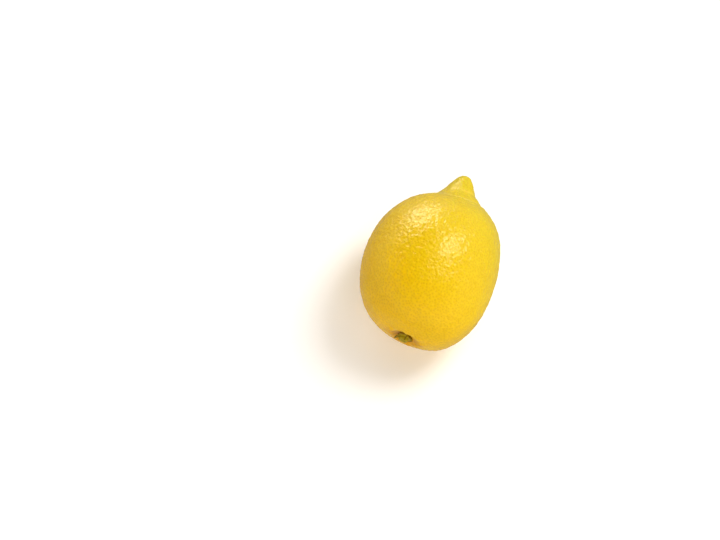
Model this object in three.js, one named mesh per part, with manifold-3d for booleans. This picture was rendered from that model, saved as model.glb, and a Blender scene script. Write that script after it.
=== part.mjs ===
// A whole fresh lemon lying on its side, with the green button that is left where it was cut from its twig.
// Millimetres, +Z up. The nipple points towards +X and the stem end towards -X.
// The origin is under the middle of the lemon, on the surface that it rests on.

import * as THREE from "three";
import { mergeVertices } from "three/addons/utils/BufferGeometryUtils.js";
import Module from "manifold-3d";

const wasm = await Module();
wasm.setup();

// Body of the fruit, measured from its widest place along its own axis.
const BODY_RADIUS = 31;
const STEM_REACH = 35.9;
const SHOULDER_REACH = 37.9;
const STEM_POWER = 0.7; // of the sine in the profile: under 1 is blunter than an ellipse
const SHOULDER_POWER = 0.825;
const HEIGHT_OVER_WIDTH = 0.975; // a lemon lies on its flatter side
const BOW = 0.5; // how far the middle stands out to +Y of the line between the two ends
const STEM_SLANT = 0.095; // the stem end reaches further on the -Y side
const STEM_LEAN = 0.3; // how far its middle lies to -Y
const STEM_LEAN_POWER = 8; // the higher, the nearer to the stem end this lean starts
const SHOULDER_SLANT = 0.215; // the shoulder round the nipple reaches further on one side
const SHOULDER_SIDE = THREE.MathUtils.degToRad(-68); // that side, turned from -Y towards +Z
const FLANK_WAVE = 0.3; // the -Y flank is flatter in its middle and fuller towards both ends
const FLANK_WAVE_TURN = 5; // radians of that wave from the widest place to either end
const CALM_RADIUS = 12; // nearer to the axis than this, waves and ribs fade out

// Nipple: a bell on the shoulder, with folds round one side of its foot.
const NIPPLE_HEIGHT = 12.3;
const NIPPLE_RADIUS = 7.15; // where the bell is down to 1/e of its height
const NIPPLE_POWER = 2.5;
const NIPPLE_LEAN = 0.35; // towards +Y
const NIPPLE_START = 0.6; // share of the shoulder's reach where the nipple and its folds start
const FOLD_SIDE = THREE.MathUtils.degToRad(15); // middle of the folds, turned from -Y towards +Z
const FOLD_FADE = 2; // the higher, the shorter the folds
const FOLDS = [
  { radius: 7.6, width: 0.8, height: -0.5 }, // crease at the nipple's foot
  { radius: 10.2, width: 1.7, height: 0.55 }, // collar
  { radius: 13.2, width: 0.9, height: -0.85 }, // furrow
  { radius: 14.8, width: 1.3, height: 0.3 }, // rim of the shoulder
];

// Low ribs and hollows in the peel: how many go round, their height, and where the first stands.
const SWELLS = [
  { count: 2, height: 0.16, turn: 0.6 },
  { count: 3, height: 0.22, turn: 1.9 },
  { count: 5, height: 0.13, turn: 0.3 },
  { count: 8, height: 0.06, turn: 2.4 },
];
const SWELL_TWIST = 0.7; // radians that they turn from end to end

// Hollow at the stem end where the button sits, with a puckered rim.
const HOLLOW_START = 0.5; // share of the stem end's reach where it starts
const HOLLOW_DEPTH = 1.5;
const HOLLOW_RADIUS = 5.2;
const HOLLOW_POWER = 4; // the higher, the flatter its floor and the steeper its side
const RIM_HEIGHT = 0.4;
const RIM_RADIUS = 7.6;
const RIM_WIDTH = 1.9;
const PUCKERS = 9;
const PUCKER_HEIGHT = 0.22;

// Button: five sepals round the cut end of the stem.
const SEPALS = 5;
const SEPAL_REACH = 4.1;
const SEPAL_NOTCH = 0.3; // share of the reach that is missing between two sepals
const SEPAL_CURL = 0.55;
const SEPAL_THICKNESS = 0.75;
const KNOB_RADIUS = 2.35;
const STUB_RADIUS = 1.75;
const STUB_TOP = 3;
const BUTTON_GAP = 0.3; // clearance between the button and the peel

// Rest: the lemon lies on a small flat spot under its centre of mass.
const REST_TILT = THREE.MathUtils.degToRad(1.5); // nipple up
const REST_DEPTH = 0.3;

// Rings of facets: how many there are up to each share of the outline's length, from the stem end.
const RING_STRETCHES = [
  { upTo: 0.13, rings: 16 }, // hollow and its rim
  { upTo: 0.74, rings: 24 }, // body
  { upTo: 0.92, rings: 30 }, // shoulder and folds
  { upTo: 1, rings: 12 }, // nipple
];
const OUTLINE_STEPS = 1000; // for measuring the outline's length
const PEEL_SIDES = 60;
const BUTTON_SIDES = 40;

const bump = (distance, width) => Math.exp(-((distance / width) ** 2));

// Half outline of the fruit from the stem end (0) to the nipple's tip (1).
// x is the radius and y is the place along the axis.
class Profile extends THREE.Curve {
  getPoint(share, target = new THREE.Vector2()) {
    const angle = Math.PI * share;
    const stemHalf = share < 0.5;
    const power = stemHalf ? STEM_POWER : SHOULDER_POWER;
    const reach = stemHalf ? STEM_REACH : SHOULDER_REACH;
    const radius = BODY_RADIUS * Math.max(Math.sin(angle), 0) ** power;
    const along = -reach * Math.cos(angle);
    return target.set(radius, stemHalf ? along : along + nippleHeight(radius));
  }
}

function nippleHeight(radius) {
  return NIPPLE_HEIGHT * Math.exp(-((radius / NIPPLE_RADIUS) ** NIPPLE_POWER));
}

// How far the peel stands in or out along the axis at the nipple's foot.
function foldHeight(radius, turn) {
  const side = (0.5 + 0.5 * Math.cos(turn - FOLD_SIDE)) ** FOLD_FADE;
  return side * FOLDS.reduce((sum, f) => sum + f.height * bump(radius - f.radius, f.width), 0);
}

// How far the stem end is drawn in along the axis.
function hollowDepth(radius, turn) {
  const hollow = HOLLOW_DEPTH * Math.exp(-((radius / HOLLOW_RADIUS) ** HOLLOW_POWER));
  const pucker = 1 + (PUCKER_HEIGHT / RIM_HEIGHT) * Math.cos(PUCKERS * turn);
  return hollow - RIM_HEIGHT * pucker * bump(radius - RIM_RADIUS, RIM_WIDTH);
}

// Moves a point of the plain turned shape, whose axis is X, to where the peel really is.
function sculptPeel(point) {
  const radius = Math.hypot(point.y, point.z);
  const turn = Math.atan2(point.z, -point.y);
  const stemHalf = point.x < 0;
  const end = THREE.MathUtils.clamp(point.x / (stemHalf ? STEM_REACH : SHOULDER_REACH), -1, 1);
  const middle = 1 - end ** 2;

  const twist = SWELL_TWIST * end;
  const swell = SWELLS.reduce((sum, s) => sum + s.height * Math.cos(s.count * (turn + twist) + s.turn), 0);
  const flank = Math.max(Math.cos(turn), 0) * Math.sqrt(middle);
  const wave = -FLANK_WAVE * flank * Math.cos(FLANK_WAVE_TURN * end);
  const scale = 1 + (swell + wave) / Math.max(radius, CALM_RADIUS);
  const y = point.y * scale;
  const z = point.z * scale * HEIGHT_OVER_WIDTH;

  if (stemHalf) {
    const drawnIn = end < -HOLLOW_START ? hollowDepth(radius, turn) : 0;
    const lean = STEM_LEAN * end ** STEM_LEAN_POWER;
    return point.set(point.x + STEM_SLANT * y * end ** 2 + drawnIn, y + BOW * middle - lean, z);
  }
  const onNipple = end > NIPPLE_START;
  const lean = onNipple ? NIPPLE_LEAN * nippleHeight(radius) / NIPPLE_HEIGHT : 0;
  const fold = onNipple ? foldHeight(radius, turn) : 0;
  const towardsSide = z * Math.sin(SHOULDER_SIDE) - y * Math.cos(SHOULDER_SIDE);
  return point.set(point.x + SHOULDER_SLANT * towardsSide * end ** 2 + fold, y + BOW * middle + lean, z);
}

// Turns a lathe's shape, whose axis is Y, so that its axis is X.
function layAlongX(geometry) {
  return geometry.rotateZ(-Math.PI / 2);
}

function reshape(geometry, move) {
  const position = geometry.getAttribute("position");
  const point = new THREE.Vector3();
  for (let i = 0; i < position.count; i++) {
    move(point.fromBufferAttribute(position, i));
    position.setXYZ(i, point.x, point.y, point.z);
  }
  return geometry;
}

function fruitGeometry() {
  const profile = new Profile();
  profile.arcLengthDivisions = OUTLINE_STEPS;
  const outline = [new THREE.Vector2(0, -STEM_REACH)];
  let from = 0;
  for (const { upTo, rings } of RING_STRETCHES) {
    for (let ring = 1; ring <= rings; ring++) {
      outline.push(profile.getPointAt(THREE.MathUtils.lerp(from, upTo, ring / rings)));
    }
    from = upTo;
  }
  outline.at(-1).x = 0;
  return reshape(layAlongX(new THREE.LatheGeometry(outline, PEEL_SIDES)), sculptPeel);
}

// The button's half section, from under its middle to the middle of the cut stem, with its axis up.
function buttonOutline() {
  const top = SEPAL_THICKNESS;
  return [
    [0, 0],
    [KNOB_RADIUS, 0],
    [SEPAL_REACH * 0.85, 0.12],
    [SEPAL_REACH, 0.35],
    [SEPAL_REACH * 0.97, top * 0.85],
    [SEPAL_REACH * 0.8, top],
    [KNOB_RADIUS, top + 0.35],
    [KNOB_RADIUS * 0.93, top + 0.95],
    [STUB_RADIUS * 1.02, top + 1.3],
    [STUB_RADIUS, STUB_TOP - 0.25],
    [STUB_RADIUS - 0.25, STUB_TOP],
    [STUB_RADIUS * 0.5, STUB_TOP - 0.12],
    [0, STUB_TOP - 0.2],
  ].map(([radius, height]) => new THREE.Vector2(radius, height));
}

// Cuts the notches between the sepals and lifts their tips. The button's axis is Y.
function sculptButton(point) {
  const radius = Math.hypot(point.x, point.z);
  const turn = Math.atan2(point.z, point.x);
  const outward = THREE.MathUtils.smoothstep(radius, KNOB_RADIUS * 1.02, SEPAL_REACH);
  const tip = Math.abs(Math.cos((SEPALS * turn) / 2)) ** 1.4; // 1 at a sepal's tip, 0 in a notch
  const scale = 1 - SEPAL_NOTCH * outward * (1 - tip);
  return point.set(point.x * scale, point.y + SEPAL_CURL * outward * tip, point.z * scale);
}

function buttonGeometry() {
  return reshape(new THREE.LatheGeometry(buttonOutline(), BUTTON_SIDES), sculptButton);
}

function toSolid(geometry) {
  const plain = geometry.clone();
  plain.deleteAttribute("normal");
  plain.deleteAttribute("uv");
  const merged = mergeVertices(plain, 1e-3);
  const vertProperties = merged.attributes.position.array;
  const triVerts = new Uint32Array(merged.index.array);
  return new wasm.Manifold(new wasm.Mesh({ numProp: 3, vertProperties, triVerts }));
}

function toGeometry(solid) {
  const { vertProperties, triVerts } = solid.getMesh();
  const geometry = new THREE.BufferGeometry();
  geometry.setAttribute("position", new THREE.BufferAttribute(vertProperties, 3));
  geometry.setIndex(new THREE.BufferAttribute(triVerts, 1));
  geometry.computeVertexNormals();
  return geometry;
}

// Tilts the fruit to its resting angle and cuts the small flat spot that it lies on.
function settle(geometry) {
  const tilted = geometry.rotateY(-REST_TILT);
  tilted.computeBoundingBox();
  const bottom = tilted.boundingBox.min.z + REST_DEPTH;
  const slab = new THREE.BoxGeometry(BODY_RADIUS, BODY_RADIUS, 2 * REST_DEPTH);
  slab.translate(0, 0, bottom - REST_DEPTH);
  return toGeometry(toSolid(tilted).subtract(toSolid(slab)));
}

const peel = new THREE.MeshStandardMaterial({ color: 0xf2c61c, roughness: 0.42, metalness: 0 });
const green = new THREE.MeshStandardMaterial({ color: 0x7d8a2c, roughness: 0.75, metalness: 0 });

const fruit = new THREE.Mesh(settle(fruitGeometry()), peel);
fruit.name = "fruit";

const button = new THREE.Mesh(buttonGeometry(), green);
button.name = "stem_button";
button.rotation.z = Math.PI / 2; // its axis, Y, points to -X
button.position.set(-STEM_REACH + HOLLOW_DEPTH - BUTTON_GAP, -STEM_LEAN, 0);
const buttonSeat = new THREE.Group();
buttonSeat.rotation.y = -REST_TILT;
buttonSeat.add(button);

const lemon = new THREE.Group();
lemon.add(fruit, buttonSeat);

// Stands the finished lemon on the origin.
lemon.updateMatrixWorld(true);
const box = new THREE.Box3().setFromObject(lemon, true);
const middle = box.getCenter(new THREE.Vector3());
lemon.position.set(-middle.x, -middle.y, -box.min.z);

export default lemon;
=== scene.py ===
# A whole fresh lemon on a pale studio floor, in metres.
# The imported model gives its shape. The peel's relief and the button's sepals are made here.

import math
import random

import bpy
import numpy as np
from mathutils import Matrix, Vector, kdtree, noise
from mathutils.bvhtree import BVHTree


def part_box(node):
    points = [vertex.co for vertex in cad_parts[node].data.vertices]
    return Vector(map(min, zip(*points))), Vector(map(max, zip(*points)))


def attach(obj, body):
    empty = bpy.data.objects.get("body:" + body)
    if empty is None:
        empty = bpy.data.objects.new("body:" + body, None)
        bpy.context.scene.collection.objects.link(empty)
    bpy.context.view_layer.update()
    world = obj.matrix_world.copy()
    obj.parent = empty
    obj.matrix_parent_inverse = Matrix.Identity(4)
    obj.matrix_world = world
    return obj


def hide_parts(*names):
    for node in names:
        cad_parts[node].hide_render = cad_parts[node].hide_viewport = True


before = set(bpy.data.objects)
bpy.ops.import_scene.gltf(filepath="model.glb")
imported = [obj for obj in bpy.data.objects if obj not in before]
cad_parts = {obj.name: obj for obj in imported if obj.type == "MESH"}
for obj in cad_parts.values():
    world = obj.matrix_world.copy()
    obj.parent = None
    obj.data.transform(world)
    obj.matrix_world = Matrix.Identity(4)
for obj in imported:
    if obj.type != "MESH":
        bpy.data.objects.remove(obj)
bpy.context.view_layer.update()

MM = 0.001
fruit_low, fruit_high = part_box("fruit")
button_low, button_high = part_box("stem_button")
BODY_SHARE = 0.423  # where the body's middle is along the fruit, from the stem end
BODY_OFFSET = -0.6 * MM  # where it is along Y
BODY_MIDDLE = Vector(
    (
        fruit_low.x + BODY_SHARE * (fruit_high.x - fruit_low.x),
        BODY_OFFSET,
        (fruit_low.z + fruit_high.z) / 2,
    )
)
STEM_END = (button_low + button_high) / 2
REST_TILT = math.radians(1.5)  # nipple up
STEM_AXIS = Vector((-math.cos(REST_TILT), 0, -math.sin(REST_TILT)))  # out of the stem end

# Peel: a grid of even cells over the fruit, with broad hollows, ripples and oil-gland pits.
PEEL_CELLS = 128  # along each edge of the cube that the grid starts from
MERIDIANS = 12  # lines from end to end along which the fruit is measured
MERIDIAN_STEPS = 720
FACET_ROUNDING = 0.5  # takes a point of a facet out to the smooth skin that the facet spans
SMOOTHING_ROUNDS = 2
RELIEF = [
    {"size": 9 * MM, "height": 0.25 * MM, "seed": 3},  # hollows
    {"size": 1.7 * MM, "height": 0.17 * MM, "seed": 5},  # ripples
    {"size": 1 * MM, "height": 0.05 * MM, "seed": 7},  # grain
]
PIT_SPACING = 1.3 * MM
PIT_SPREAD = (0.75, 1.15)  # least and greatest share of the spacing
PIT_RADIUS = 0.38 * MM
PIT_DEPTH = (0.1 * MM, 0.22 * MM)
PIT_SEED = 11
CALM_PEEL = (3 * MM, 7 * MM)  # how far from the button the relief starts, and is full
SHADED_PEEL = (4 * MM, 12 * MM)  # how far from the button the painted shade is full, and ends
SHADE_RISE = 4 * MM  # how far above the button's middle the painted shade is weakest
SHADE_LOSS = 0.8  # share of the painted shade that is lost there

# Two thin ridges round one side of the nipple's foot, painted pale as a painted highlight: how far
# each is from the long axis, and how strong.
RIDGES = [(7.9 * MM, 0.35), (13.1 * MM, 1)]
RIDGE_WIDTH = 0.5 * MM
RIDGE_HEIGHT = 0.22 * MM
RIDGE_SIDE = math.radians(72)  # middle of the ridges, turned from -Y towards +Z

# Peel material. Each paint is laid over what is below it, as strongly as its mask and share say.
# The yellow runs from deep to bright along one axis across the fruit: partly ripeness, partly painted
# shade and light, the deep end painted more orange where shade falls and the bright end more
# lemon-yellow where light falls.
DEEP_YELLOW = (0.87, 0.5, 0.0)
BRIGHT_YELLOW = (0.61, 0.475, 0.001)
RIPENESS_AND_SHADE_AXIS = (0.8, -0.6, 0)  # from the deepest yellow to the brightest
RIPENESS_AND_SHADE_REACH = 34 * MM
BLOTCH_SIZE = 14 * MM
PORE_SIZE = 0.8 * MM
PORE_EDGE = 0.32  # share of the pore size
PORE_DEPTH = 0.06 * MM
BLOTCH_PAINT = {"colour": (0.72, 0.5, 0.001), "share": 0.3}
# Painted shade: the pits and pores are painted darker orange, as if shaded in the dimples.
PIT_SHADE_PAINT = {"colour": (0.55, 0.25, 0.0), "share": 0.5}
PORE_SHADE_PAINT = {"colour": (0.5, 0.25, 0.0), "share": 0.3}
BUTTON_SHADE_PAINT = {"colour": (0.55, 0.2, 0.0), "share": 0.7}
RIDGE_HIGHLIGHT_PAINT = {"colour": (0.92, 0.68, 0.09), "share": 0.6}
LEAST_ROUGHNESS = 0.17
ROUGHNESS_RANGE = 0.1
FINE_RELIEF = [
    {"size": 1.9 * MM, "rough": 0.5, "distortion": 0.6, "height": 0.3 * MM},
    {"size": 0.45 * MM, "rough": 0.6, "distortion": 0.0, "height": 0.03 * MM},
]

# Stem button: five sepals round the cut end of the stem.
# Lengths in its own frame are in millimetres.
BUTTON_SIDES = 240
BUTTON_STEPS = 96
KNOB_RADIUS = 2.3
KNOB_FOOT = 0.8  # heights
KNOB_WAIST = 1.8
CUT_EDGE = 2.3
CUT_MIDDLE = 2.6
SEPAL_REACH = 4.1
SEPAL_OVERLAP = 1.05  # half width of a sepal, as a share of half the turn between two
SEPAL_NOTCH = 0.64  # share of the reach that is left in a notch
SEPAL_GROWTH = 0.4  # share that a sepal adds on its midline
KNOB_LOBES = 0.07  # share by which the knob bulges above each sepal
KNOB_WAVE = 0.1  # height of the waves round the cut
BUTTON_RELIEF = 0.07
SEPALS = [  # where each points, from +Y towards +Z, its length, and how far its tip stands up
    {"turn": 8, "length": 1.0, "curl": 2.2},
    {"turn": 74, "length": 1.08, "curl": 0.5},
    {"turn": 150, "length": 0.95, "curl": 0.8},
    {"turn": 221, "length": 1.03, "curl": 0.35},
    {"turn": 292, "length": 0.93, "curl": 0.9},
]
DARK_GREEN = (0.26, 0.17, 0.001)
LIGHT_GREEN = (0.52, 0.37, 0.002)
TIP_PAINT = {"colour": (0.16, 0.07, 0.001), "share": 0.75}
NOTCH_SHADE_PAINT = {"colour": (0.06, 0.02, 0.001), "share": 0.85}
LIGHT_CUT = (0.42, 0.31, 0.006)
DARK_CUT = (0.28, 0.19, 0.003)

# Studio: the dome's brightness at the sines of some heights, a floor that glows a little,
# and softboxes whose directions are given as the camera's right, up and back.
DOME = [(-0.1, 0.36), (-0.03, 1.0), (0.25, 1.0), (0.75, 0.17)]
FLOOR_REACH = 30.0
FLOOR_SHADES = [(0.9, 0.898, 0.892, 1), (0.92, 0.918, 0.913, 1)]
GLOW_REACH = (0.5, 2.5)  # how far out the floor's glow starts to grow, and stops
NEAR_GLOW = (0.16, 0.118, 0.064)
FAR_GLOW = (0.85, 0.85, 0.85)
HIGH = (-0.21, 0.98, 0.01)
FRONT = (0.52, 0.56, 0.65)
SOFTBOXES = [
    {
        "name": "softbox_high",
        "towards": HIGH,
        "distance": 1.1,
        "size": (0.75, 0.65),
        "radiance": 2,
    },
    {
        "name": "high_gleam",
        "towards": HIGH,
        "distance": 1.12,
        "size": (0.75, 0.65),
        "radiance": 6.5,
        "shade": False,
    },
    {
        "name": "softbox_front",
        "towards": FRONT,
        "distance": 1.1,
        "size": (0.5, 0.56),
        "radiance": 9.4,
    },
    {
        "name": "front_halo",
        "towards": (0.48, 0.54, 0.69),
        "distance": 1.12,
        "size": (0.85, 1),
        "radiance": 1.5,
    },
    {
        "name": "fill_low",
        "towards": (0.1, -0.35, 0.93),
        "distance": 1.3,
        "size": (1.2, 1.2),
        "radiance": 1.5,
        "shine": False,
    },
]

# Camera: it looks down on the fruit, which is right of the middle of the picture.
VIEW_AZIMUTH = math.radians(-69.45)
VIEW_ELEVATION = math.radians(66)
VIEW_DISTANCE = 0.919
VIEW_LENS = 100
SENSOR_WIDTH = 36
NEAREST_SEEN = 0.05
FRUIT_RIGHT_OF_MIDDLE = 32.5 * MM
FRUIT_ABOVE_MIDDLE = 0.45 * MM


def mesh_object(name, points, faces):
    mesh = bpy.data.meshes.new(name)
    mesh.from_pydata(np.asarray(points).tolist(), [], [tuple(map(int, face)) for face in faces])
    mesh.polygons.foreach_set("use_smooth", [True] * len(mesh.polygons))
    mesh.update()
    made = bpy.data.objects.new(name, mesh)
    bpy.context.scene.collection.objects.link(made)
    return made


def add_attribute(made, name, values):
    attribute = made.data.attributes.new(name, "FLOAT", "POINT")
    attribute.data.foreach_set("value", np.asarray(values, np.float32))


def smoothstep(value, low, high):
    t = np.clip((value - low) / (high - low), 0, 1)
    return t * t * (3 - 2 * t)


def vertex_normals(points, faces):
    first, second, third = (points[faces[:, i]] for i in range(3))
    face_normals = np.cross(second - first, third - first)
    normals = np.zeros_like(points)
    for i in range(faces.shape[1]):
        np.add.at(normals, faces[:, i], face_normals)
    return normals / np.linalg.norm(normals, axis=1, keepdims=True)


# ---------------------------------------------------------------- the peel's grid


def cube_sphere(cells):
    """Points of the unit sphere and quads between them, from a cube evenly divided by angle."""
    ticks = np.tan(np.linspace(-math.pi / 4, math.pi / 4, cells + 1))
    u, v = (grid.reshape(-1, 1) for grid in np.meshgrid(ticks, ticks, indexing="ij"))
    row, column = np.divmod(np.arange(cells * cells), cells)
    corner = row * (cells + 1) + column
    quads_of_face = np.stack([corner, corner + cells + 1, corner + cells + 2, corner + 1], axis=1)
    x, y, z = np.eye(3)
    points, quads = [], []
    for number, (a, b) in enumerate([(y, z), (z, y), (z, x), (x, z), (x, y), (y, x)]):
        points.append(np.cross(a, b) + u * a + v * b)
        quads.append(quads_of_face + number * len(u))
    points = np.concatenate(points)
    points /= np.linalg.norm(points, axis=1, keepdims=True)
    _, kept, place = np.unique(np.round(points, 6), axis=0, return_index=True, return_inverse=True)
    return points[kept], place.ravel()[np.concatenate(quads)]


class Skin:
    """The smooth skin that a faceted CAD node stands for."""

    def __init__(self, node):
        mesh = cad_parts[node].data
        mesh.calc_loop_triangles()
        raw = np.array([v.co for v in mesh.vertices])
        rounded = np.round(raw / (0.001 * MM))
        _, kept, place = np.unique(rounded, axis=0, return_index=True, return_inverse=True)
        self.points = raw[kept]
        self.triangles = place.ravel()[np.array([t.vertices[:] for t in mesh.loop_triangles])]
        self.normals = vertex_normals(self.points, self.triangles)
        self.tree = BVHTree.FromPolygons(self.points.tolist(), self.triangles.tolist())

    def reach(self, origin, directions):
        """Where lines from origin pass through the skin."""
        hits = [self.tree.ray_cast(origin, Vector(direction)) for direction in directions]
        places = np.array([hit[0] for hit in hits])
        corners = self.triangles[[hit[2] for hit in hits]]
        return self.round_off(places, self.points[corners], self.normals[corners])

    @staticmethod
    def round_off(places, corners, normals):
        """Lifts places on flat facets towards the smooth skin that the corners' normals give."""
        sides = corners - places[:, None]
        opposite = [np.cross(sides[:, (i + 1) % 3], sides[:, (i + 2) % 3]) for i in range(3)]
        shares = np.stack([np.linalg.norm(area, axis=1) for area in opposite], axis=1)
        shares /= shares.sum(axis=1, keepdims=True)
        lift = np.einsum("nij,nij->ni", sides, normals)
        return places + FACET_ROUNDING * np.einsum("ni,ni,nij->nj", shares, lift, normals)


def even_directions(skin, sphere):
    """Turns the sphere's points to or from the X axis, so that rings of cells are evenly spaced."""
    polar = np.linspace(0, math.pi, MERIDIAN_STEPS + 1)
    turns = np.linspace(0, 2 * math.pi, MERIDIANS, endpoint=False)
    lengths = np.zeros(len(polar) - 1)
    for turn in turns:
        side = np.array([0, math.cos(turn), math.sin(turn)])
        directions = np.cos(polar)[:, None] * [1, 0, 0] + np.sin(polar)[:, None] * side
        line = skin.reach(BODY_MIDDLE, directions)
        lengths += np.linalg.norm(np.diff(line, axis=0), axis=1)
    travelled = np.concatenate([[0], np.cumsum(lengths)])
    wanted = np.arccos(np.clip(sphere[:, 0], -1, 1)) / math.pi * travelled[-1]
    angle = np.interp(wanted, travelled, polar)
    across = sphere[:, 1:] / np.maximum(np.linalg.norm(sphere[:, 1:], axis=1, keepdims=True), 1e-9)
    return np.column_stack([np.cos(angle), np.sin(angle)[:, None] * across])


def relax(points, quads, rounds):
    """Moves each point half way to the middle of its neighbours."""
    ends = np.concatenate([quads[:, [i, (i + 1) % 4]] for i in range(4)])
    count = np.bincount(ends[:, 0], minlength=len(points))[:, None]
    for _ in range(rounds):
        nearby = points[ends[:, 1]]
        sums = [np.bincount(ends[:, 0], nearby[:, k], minlength=len(points)) for k in range(3)]
        points = (points + np.stack(sums, axis=1) / count) / 2
    return points


# ---------------------------------------------------------------- the peel's surface


def noise_height(points, layer):
    offset = Vector((layer["seed"], 2 * layer["seed"], -layer["seed"]))
    values = [noise.noise(Vector(p) / layer["size"] + offset) for p in points]
    return layer["height"] * np.array(values)


def scatter_pits(points):
    """Numbers of points that are about PIT_SPACING apart, taken in random order."""
    rng = random.Random(PIT_SEED)
    order = list(range(len(points)))
    rng.shuffle(order)
    cells, kept = {}, []
    for i in order:
        p = points[i]
        spacing = PIT_SPACING * rng.uniform(*PIT_SPREAD)
        home = tuple(int(c // PIT_SPACING) for c in p)
        near = (
            q
            for x in range(home[0] - 1, home[0] + 2)
            for y in range(home[1] - 1, home[1] + 2)
            for z in range(home[2] - 1, home[2] + 2)
            for q in cells.get((x, y, z), ())
        )
        if all(sum((a - b) ** 2 for a, b in zip(p, q)) > spacing**2 for q in near):
            cells.setdefault(home, []).append(p)
            kept.append(i)
    return kept


def pit_shape(points):
    """How deep each point lies in its pit, and how near it is to the pit's middle, from 0 to 1."""
    rng = random.Random(PIT_SEED + 1)
    places = points.tolist()
    middles = scatter_pits(places)
    tree = kdtree.KDTree(len(middles))
    for number, i in enumerate(middles):
        tree.insert(places[i], number)
    tree.balance()
    depths = [rng.uniform(*PIT_DEPTH) for _ in middles]
    found = [tree.find(p) for p in places]
    distance = np.array([hit[2] for hit in found])
    nearness = np.exp(-((distance / PIT_RADIUS) ** 2))
    return nearness * np.array([depths[hit[1]] for hit in found]), nearness


def ridge_shape(points):
    """How near each point is to the top of a ridge at the nipple's foot, from 0 to 1."""
    across, upward = BODY_MIDDLE.y - points[:, 1], points[:, 2] - BODY_MIDDLE.z
    radius, turn = np.hypot(across, upward), np.arctan2(upward, across)
    side = np.clip(np.cos(turn - RIDGE_SIDE), 0, 1) ** 2 * (points[:, 0] > 0)
    return side * sum(
        share * np.exp(-(((radius - ridge) / RIDGE_WIDTH) ** 2)) for ridge, share in RIDGES
    )


def make_peel():
    skin = Skin("fruit")
    sphere, quads = cube_sphere(PEEL_CELLS)
    points = skin.reach(BODY_MIDDLE, even_directions(skin, sphere))
    points = relax(points, quads, SMOOTHING_ROUNDS)

    depth, nearness = pit_shape(points)
    ridge = ridge_shape(points)
    height = sum(noise_height(points, layer) for layer in RELIEF) + RIDGE_HEIGHT * ridge
    from_button = np.linalg.norm(points - np.array(STEM_END), axis=1)
    open_peel = smoothstep(from_button, *CALM_PEEL)
    points = points + vertex_normals(points, quads) * ((height - depth) * open_peel)[:, None]
    points[:, 2] = np.maximum(points[:, 2], 0)

    peel = mesh_object("lemon_peel", points, quads)
    # Nearness to a pit's middle, which masks the painted shade in the pits.
    add_attribute(peel, "pit", nearness * open_peel)
    # Painted shade: orange-brown on the peel round the button, weaker above the button's middle.
    above_button = smoothstep(points[:, 2] - STEM_END.z, 0, SHADE_RISE)
    painted_shade = (1 - smoothstep(from_button, *SHADED_PEEL)) * (1 - SHADE_LOSS * above_button)
    add_attribute(peel, "painted_button_shade", painted_shade)
    add_attribute(peel, "ridge", ridge)
    return peel


# ---------------------------------------------------------------- the stem button


def button_outline():
    """Half section of the button, from under its middle to the middle of the cut: radius, height."""
    return np.array(
        [
            (0, 0.05),
            (KNOB_RADIUS, 0),
            (SEPAL_REACH * 0.85, 0.18),
            (SEPAL_REACH, 0.45),
            (SEPAL_REACH * 0.96, 0.8),
            (SEPAL_REACH * 0.8, 0.95),
            (KNOB_RADIUS * 1.12, 1.1),
            (KNOB_RADIUS, 1.5),
            (KNOB_RADIUS * 0.98, 2.1),
            (KNOB_RADIUS * 0.85, CUT_MIDDLE),
            (KNOB_RADIUS * 0.66, 2.8),
            (KNOB_RADIUS * 0.5, 2.68),
            (KNOB_RADIUS * 0.25, CUT_MIDDLE),
            (0, CUT_MIDDLE),
        ]
    )


def curve_through(points, steps):
    """A Catmull-Rom curve through points, at even steps."""
    padded = np.concatenate([[2 * points[0] - points[1]], points, [2 * points[-1] - points[-2]]])
    place = np.linspace(0, len(points) - 1 - 1e-9, steps)
    span, t = place.astype(int), (place % 1)[:, None]
    a, b, c, d = (padded[span + i] for i in range(4))
    square, cube = 2 * a - 5 * b + 4 * c - d, 3 * b - a - 3 * c + d
    return 0.5 * (2 * b + (c - a) * t + square * t**2 + cube * t**3)


def sepal_share(turn):
    """The nearest sepal's strength (1 on its midline, 0 in a notch), length and curl."""
    best = np.zeros_like(turn)
    length = np.zeros_like(turn)
    curl = np.zeros_like(turn)
    half_width = math.pi / len(SEPALS) * SEPAL_OVERLAP
    for sepal in SEPALS:
        away = np.abs((turn - math.radians(sepal["turn"]) + math.pi) % (2 * math.pi) - math.pi)
        share = np.clip(1 - (away / half_width) ** 2.2, 0, 1)
        nearer = share > best
        best = np.where(nearer, share, best)
        length = np.where(nearer, sepal["length"], length)
        curl = np.where(nearer, sepal["curl"], curl)
    return best, length, curl


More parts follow.
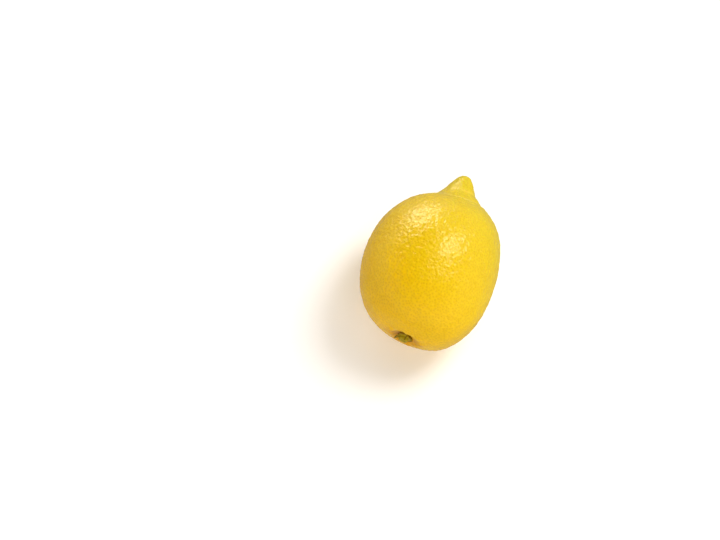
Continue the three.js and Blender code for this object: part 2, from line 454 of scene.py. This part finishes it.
def make_button():
    outline = curve_through(button_outline(), BUTTON_STEPS)
    turns = np.linspace(0, 2 * math.pi, BUTTON_SIDES, endpoint=False)
    radius, turn = np.meshgrid(outline[1:-1, 0], turns, indexing="ij")
    height, _ = np.meshgrid(outline[1:-1, 1], turns, indexing="ij")
    share, length, curl = sepal_share(turn)

    outward = smoothstep(radius, KNOB_RADIUS * 1.02, SEPAL_REACH)
    reach = 1 - outward * (1 - (SEPAL_NOTCH + SEPAL_GROWTH * share**0.7) * length)
    lobes = 1 + KNOB_LOBES * (share - 0.5) * (1 - outward) * smoothstep(height, KNOB_FOOT, KNOB_WAIST)
    rise = curl * share * outward**1.6
    x, y = radius * reach * lobes * np.cos(turn), radius * reach * lobes * np.sin(turn)
    wave = KNOB_WAVE * np.sin(3 * turn + 1) * smoothstep(height, KNOB_WAIST, CUT_MIDDLE)
    z = height + rise + wave

    ends = np.array([[0, 0, outline[0, 1]], [0, 0, outline[-1, 1]]])
    local = np.concatenate([np.stack([x, y, z], axis=2).reshape(-1, 3), ends])
    rough = [noise.noise(Vector(p) * 1.6) + 0.5 * noise.noise(Vector(p) * 4) for p in local]

    rings, sides = radius.shape
    under, top, last = rings * sides, rings * sides + 1, (rings - 1) * sides
    steps = [(s, (s + 1) % sides) for s in range(sides)]
    quads = [
        (ring + s, ring + t, ring + sides + t, ring + sides + s)
        for ring in range(0, last, sides)
        for s, t in steps
    ]
    caps = [(under, t, s) for s, t in steps] + [(top, last + s, last + t) for s, t in steps]

    across = Vector((0, 1, 0))
    upward = across.cross(STEM_AXIS)
    turned = Matrix((across, upward, STEM_AXIS)).transposed()
    foot = STEM_END - STEM_AXIS * (button_high.x - button_low.x) / 2
    placed = np.array([foot + turned @ (Vector(p) * MM) for p in local])

    button = mesh_object("lemon_button", placed, quads + caps)
    normals = np.array([v.normal for v in button.data.vertices])
    placed = placed + normals * (np.array(rough) * BUTTON_RELIEF * MM)[:, None]
    button.data.vertices.foreach_set("co", placed.ravel())
    button.data.update()

    tip = outward * smoothstep(share, 0.2, 0.9)
    # Painted shade: near black in the notches between the sepals.
    notch = (1 - smoothstep(share, 0.0, 0.45)) * smoothstep(height, 0.3, 0.7)
    cut = smoothstep(height, CUT_EDGE, CUT_MIDDLE) * (radius < KNOB_RADIUS * 0.8)
    for name, values, at_top in (("tip", tip, 0), ("notch", notch, 0), ("cut", cut, 1)):
        add_attribute(button, name, np.append(values.ravel(), [0, at_top]))
    return button


# ---------------------------------------------------------------- materials


class Shader:
    """A material whose nodes are added one call at a time."""

    def __init__(self, name):
        self.material = bpy.data.materials.new(name)
        self.material.use_nodes = True
        self.tree = self.material.node_tree
        self.surface = self.tree.nodes["Principled BSDF"]
        self.place = self.node("ShaderNodeTexCoord").outputs["Object"]

    def node(self, kind, inputs=None, **settings):
        made = self.tree.nodes.new(kind)
        for name, value in settings.items():
            setattr(made, name, value)
        for name, value in (inputs or {}).items():
            self.plug(value, made.inputs[name])
        return made

    def plug(self, value, socket):
        if isinstance(value, bpy.types.NodeSocket):
            self.tree.links.new(value, socket)
        else:
            socket.default_value = value

    def noise(self, size, detail=2.0, rough=0.5, distortion=0.0):
        inputs = {"Vector": self.place, "Scale": 1 / size, "Detail": detail, "Roughness": rough}
        return self.node("ShaderNodeTexNoise", inputs | {"Distortion": distortion}).outputs["Fac"]

    def attribute(self, name):
        return self.node("ShaderNodeAttribute", attribute_name=name).outputs["Fac"]

    def along(self, axis, low, high):
        """0 where the place along axis is low or less, 1 where it is high or more."""
        made = self.node("ShaderNodeVectorMath", operation="DOT_PRODUCT")
        self.plug(self.place, made.inputs[0])
        self.plug(axis, made.inputs[1])
        return self.ramp(made.outputs["Value"], low, high)

    def ramp(self, value, low, high):
        """0 where value is low or less, 1 where it is high or more."""
        inputs = {"Value": value, "From Min": low, "From Max": high}
        return self.node("ShaderNodeMapRange", inputs, clamp=True).outputs["Result"]

    def maths(self, operation, *values):
        made = self.node("ShaderNodeMath", operation=operation)
        for value, socket in zip(values, made.inputs):
            self.plug(value, socket)
        return made.outputs["Value"]

    def mix(self, share, first, second):
        made = self.node("ShaderNodeMix", data_type="RGBA")
        for value, number in ((share, 0), (first, 6), (second, 7)):
            self.plug(value, made.inputs[number])
        return made.outputs[2]

    def paint(self, below, mask, paint):
        """The paint's colour laid over below, as strongly as mask and the paint's share say."""
        share = self.maths("MULTIPLY", mask, paint["share"])
        return self.mix(share, below, (*paint["colour"], 1))

    def bump(self, height, distance, below=None):
        inputs = {"Height": height, "Distance": distance, "Strength": 1.0}
        if below is not None:
            inputs["Normal"] = below
        return self.node("ShaderNodeBump", inputs).outputs["Normal"]

    def finish(self, **inputs):
        for name, value in inputs.items():
            self.plug(value, self.surface.inputs[name.replace("_", " ")])
        return self.material


def peel_material():
    shader = Shader("lemon_peel")
    inputs = {"Vector": shader.place, "Scale": 1 / PORE_SIZE, "Randomness": 0.9}
    pores = shader.node("ShaderNodeTexVoronoi", inputs).outputs["Distance"]
    pore = shader.ramp(pores, PORE_EDGE, 0.0)

    # Partly ripeness, partly painted shade and light: deep orange-yellow on the shaded side,
    # lemon-yellow on the lit side.
    ripeness_and_shade = shader.along(RIPENESS_AND_SHADE_AXIS, -RIPENESS_AND_SHADE_REACH, RIPENESS_AND_SHADE_REACH)
    yellow = shader.mix(ripeness_and_shade, (*DEEP_YELLOW, 1), (*BRIGHT_YELLOW, 1))
    blotch = shader.ramp(shader.noise(BLOTCH_SIZE, 3, 0.55), 0.3, 0.7)
    yellow = shader.paint(yellow, blotch, BLOTCH_PAINT)
    # Painted shade in the pits and pores.
    yellow = shader.paint(yellow, shader.attribute("pit"), PIT_SHADE_PAINT)
    yellow = shader.paint(yellow, pore, PORE_SHADE_PAINT)
    # Painted shade round the button.
    yellow = shader.paint(yellow, shader.attribute("painted_button_shade"), BUTTON_SHADE_PAINT)
    # Painted highlight: a pale line along the ridges.
    yellow = shader.paint(yellow, shader.attribute("ridge"), RIDGE_HIGHLIGHT_PAINT)

    unevenness = shader.maths("MULTIPLY", shader.noise(1.2 * MM), ROUGHNESS_RANGE)
    normal = None
    for layer in FINE_RELIEF:
        height = shader.noise(layer["size"], rough=layer["rough"], distortion=layer["distortion"])
        normal = shader.bump(height, layer["height"], below=normal)
    normal = shader.bump(shader.maths("SUBTRACT", 1.0, pore), PORE_DEPTH, below=normal)
    return shader.finish(
        Base_Color=yellow,
        Roughness=shader.maths("ADD", unevenness, LEAST_ROUGHNESS),
        Normal=normal,
        Specular_IOR_Level=0.42,
        Specular_Tint=(1, 0.88, 0.6, 1),
        Subsurface_Weight=0.15,
        Subsurface_Radius=(1.0, 0.55, 0.12),
        Subsurface_Scale=1.2 * MM,
    )


def button_material():
    shader = Shader("lemon_button")
    mottle = shader.noise(0.9 * MM, 4, 0.6)
    green = shader.mix(mottle, (*DARK_GREEN, 1), (*LIGHT_GREEN, 1))
    green = shader.paint(green, shader.attribute("tip"), TIP_PAINT)
    # Painted shade in the notches.
    green = shader.paint(green, shader.attribute("notch"), NOTCH_SHADE_PAINT)
    ring = shader.mix(shader.noise(0.5 * MM, 3), (*LIGHT_CUT, 1), (*DARK_CUT, 1))
    colour = shader.mix(shader.attribute("cut"), green, ring)
    roughness = shader.maths("ADD", shader.maths("MULTIPLY", mottle, 0.25), 0.4)
    normal = shader.bump(shader.noise(0.35 * MM, 4, 0.65), 0.08 * MM)
    return shader.finish(
        Base_Color=colour,
        Roughness=roughness,
        Normal=normal,
        Specular_IOR_Level=0.15,
        Subsurface_Weight=0.08,
        Subsurface_Radius=(0.6, 0.8, 0.2),
        Subsurface_Scale=0.5 * MM,
    )


def floor_material():
    shader = Shader("pale_floor")
    shade = shader.mix(shader.noise(0.4), *FLOOR_SHADES)
    length = shader.node("ShaderNodeVectorMath", {"Vector": shader.place}, operation="LENGTH")
    far = shader.ramp(length.outputs["Value"], *GLOW_REACH)
    return shader.finish(
        Base_Color=shade,
        Roughness=0.75,
        Specular_IOR_Level=0.2,
        Emission_Color=shader.mix(far, (*NEAR_GLOW, 1), (*FAR_GLOW, 1)),
        Emission_Strength=1.0,
    )


# ---------------------------------------------------------------- studio


def view_axes():
    """The camera's right, up and back."""
    flat = math.cos(VIEW_ELEVATION)
    sine, cosine = math.sin(VIEW_AZIMUTH), math.cos(VIEW_AZIMUTH)
    back = Vector((sine * flat, -cosine * flat, math.sin(VIEW_ELEVATION)))
    right = Vector((cosine, sine, 0))
    return right, back.cross(right), back


def make_camera():
    right, up, back = view_axes()
    camera = bpy.data.objects.new("camera", bpy.data.cameras.new("camera"))
    camera.data.lens = VIEW_LENS
    camera.data.sensor_width = SENSOR_WIDTH
    camera.data.clip_start = NEAREST_SEEN
    middle = BODY_MIDDLE - right * FRUIT_RIGHT_OF_MIDDLE - up * FRUIT_ABOVE_MIDDLE
    turned = Matrix((right, up, back)).transposed().to_4x4()
    camera.matrix_world = Matrix.Translation(middle + back * VIEW_DISTANCE) @ turned
    bpy.context.scene.collection.objects.link(camera)
    bpy.context.scene.camera = camera


def make_softbox(name, towards, distance, size, radiance, shade=True, shine=True):
    """An area light. Without shine it gives no highlight, and without shade nothing else."""
    right, up, back = view_axes()
    direction = (right * towards[0] + up * towards[1] + back * towards[2]).normalized()
    width, height = size
    light = bpy.data.lights.new(name, "AREA")
    light.shape = "ELLIPSE"
    light.size, light.size_y = width, height
    light.energy = radiance * math.pi * (math.pi / 4 * width * height)
    made = bpy.data.objects.new(name, light)
    made.location = BODY_MIDDLE + direction * distance
    made.rotation_euler = direction.to_track_quat("Z", "Y").to_euler()
    made.visible_diffuse, made.visible_glossy = shade, shine
    bpy.context.scene.collection.objects.link(made)


def make_world():
    """A dome that is white near the horizon, and dimmer overhead and below."""
    world = bpy.data.worlds.new("studio")
    world.use_nodes = True
    nodes, links = world.node_tree.nodes, world.node_tree.links
    place = nodes.new("ShaderNodeTexCoord").outputs["Generated"]
    split = nodes.new("ShaderNodeSeparateXYZ")
    links.new(place, split.inputs["Vector"])
    halved = nodes.new("ShaderNodeMapRange")
    links.new(split.outputs["Z"], halved.inputs["Value"])
    halved.inputs["From Min"].default_value = -1
    ramp = nodes.new("ShaderNodeValToRGB")
    links.new(halved.outputs["Result"], ramp.inputs["Fac"])
    stops = ramp.color_ramp.elements
    while len(stops) < len(DOME):
        stops.new(0.5)
    for stop, (sine, brightness) in zip(stops, DOME):
        stop.position = (sine + 1) / 2
        stop.color = (brightness, brightness, brightness, 1)
    links.new(ramp.outputs["Color"], nodes["Background"].inputs["Color"])
    bpy.context.scene.world = world


def make_floor():
    signs = ((-1, -1), (1, -1), (1, 1), (-1, 1))
    corners = [(x * FLOOR_REACH, y * FLOOR_REACH, 0) for x, y in signs]
    floor = mesh_object("floor", corners, [(0, 1, 2, 3)])
    floor.data.materials.append(floor_material())
    floor.visible_glossy = False  # the peel doesn't mirror it


peel = make_peel()
peel.data.materials.append(peel_material())
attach(peel, "root")
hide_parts("fruit")

button = make_button()
button.data.materials.append(button_material())
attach(button, "root")
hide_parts("stem_button")

make_floor()
make_camera()
make_world()
for softbox in SOFTBOXES:
    make_softbox(**softbox)
bpy.context.scene.view_settings.view_transform = "Standard"
